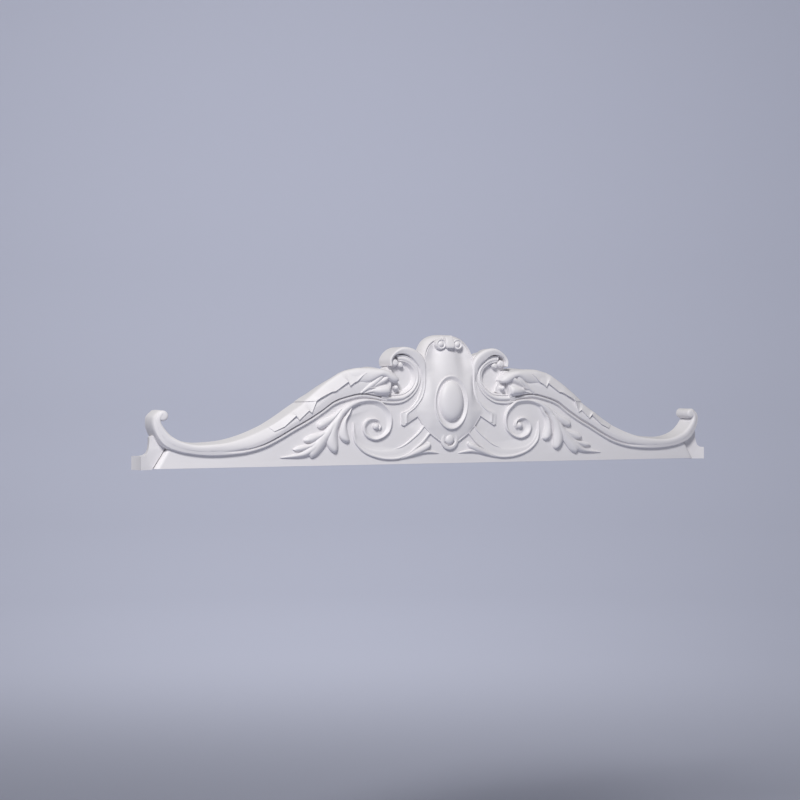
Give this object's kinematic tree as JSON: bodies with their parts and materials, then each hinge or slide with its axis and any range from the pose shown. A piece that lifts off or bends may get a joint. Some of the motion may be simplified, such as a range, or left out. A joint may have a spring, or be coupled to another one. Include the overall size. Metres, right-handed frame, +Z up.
{
  "type": "scroll onlay",
  "caption": "Long moulded scroll onlay with a central oval cartouche, S-scrolls with leaves and spirals, and small end blocks; flat back for fixing to a wall.",
  "frame": {"origin": "on the flat back face, on the centre line, 123.5 mm above the bottom edge", "axes": "+X along the length, +Z up the wall, -Y out of the wall towards the viewer"},
  "size_m": [1.28, 0.051, 0.25],
  "materials": {
    "primed_polyurethane": "factory-primed white, satin-matte"
  },
  "bodies": {
    "root": {"scroll_onlay": "primed_polyurethane"}
  },
  "joints": []
}
